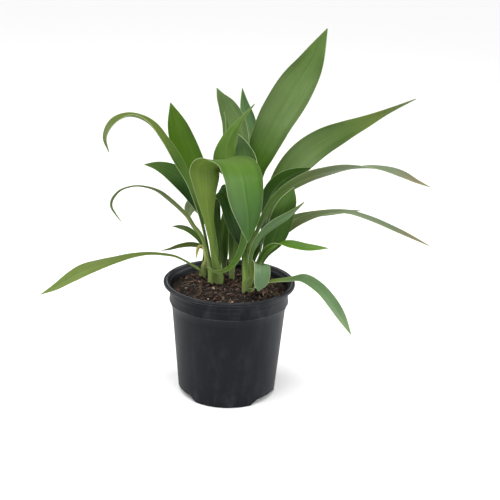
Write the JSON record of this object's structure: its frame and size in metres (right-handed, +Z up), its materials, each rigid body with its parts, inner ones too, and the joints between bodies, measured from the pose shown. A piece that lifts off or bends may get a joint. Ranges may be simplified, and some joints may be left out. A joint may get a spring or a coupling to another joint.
{
  "type": "potted rengarenga lily",
  "caption": "Strap-leaved house plant: a clump of long arching, folded and upright blades standing in dark mix in a round tapered plastic nursery pot.",
  "frame": {"origin": "middle of the pot's foot, on the surface that the pot stands on", "axes": "+Z up along the pot's axis; -Y is the front, the side that the picture shows; +X is the right seen from the front, and the leaves spread widest along X"},
  "size_m": [0.4306, 0.1702, 0.4093],
  "materials": {
    "pot_plastic": "matte, moulded, with faint scuffs and dust",
    "potting_mix": "loose, crumbly, matt",
    "leaf_green": "smooth, soft sheen, finely veined along its length"
  },
  "bodies": {
    "root": {"leaf_back_drooping": "leaf_green", "leaf_back_thin": "leaf_green", "leaf_centre_back": "leaf_green", "leaf_centre_bent_tip": "leaf_green", "leaf_centre_low": "leaf_green", "leaf_centre_pointed": "leaf_green", "leaf_centre_slant": "leaf_green", "leaf_far_arch": "leaf_green", "leaf_front_curl": "leaf_green", "leaf_front_folded": "leaf_green", "leaf_front_tip": "leaf_green", "leaf_inner_folded": "leaf_green", "leaf_left_broad": "leaf_green", "leaf_left_hook": "leaf_green", "leaf_left_short": "leaf_green", "leaf_left_tall": "leaf_green", "leaf_long_low_left": "leaf_green", "leaf_low_right": "leaf_green", "leaf_right_behind": "leaf_green", "leaf_right_high": "leaf_green", "leaf_right_long": "leaf_green", "leaf_right_short_dark": "leaf_green", "leaf_right_slant": "leaf_green", "leaf_right_small": "leaf_green", "leaf_right_twisted": "leaf_green", "leaf_right_upright": "leaf_green", "leaf_tallest": "leaf_green", "leaf_withered": "leaf_green", "pot": "pot_plastic", "soil": "potting_mix"}
  },
  "joints": []
}
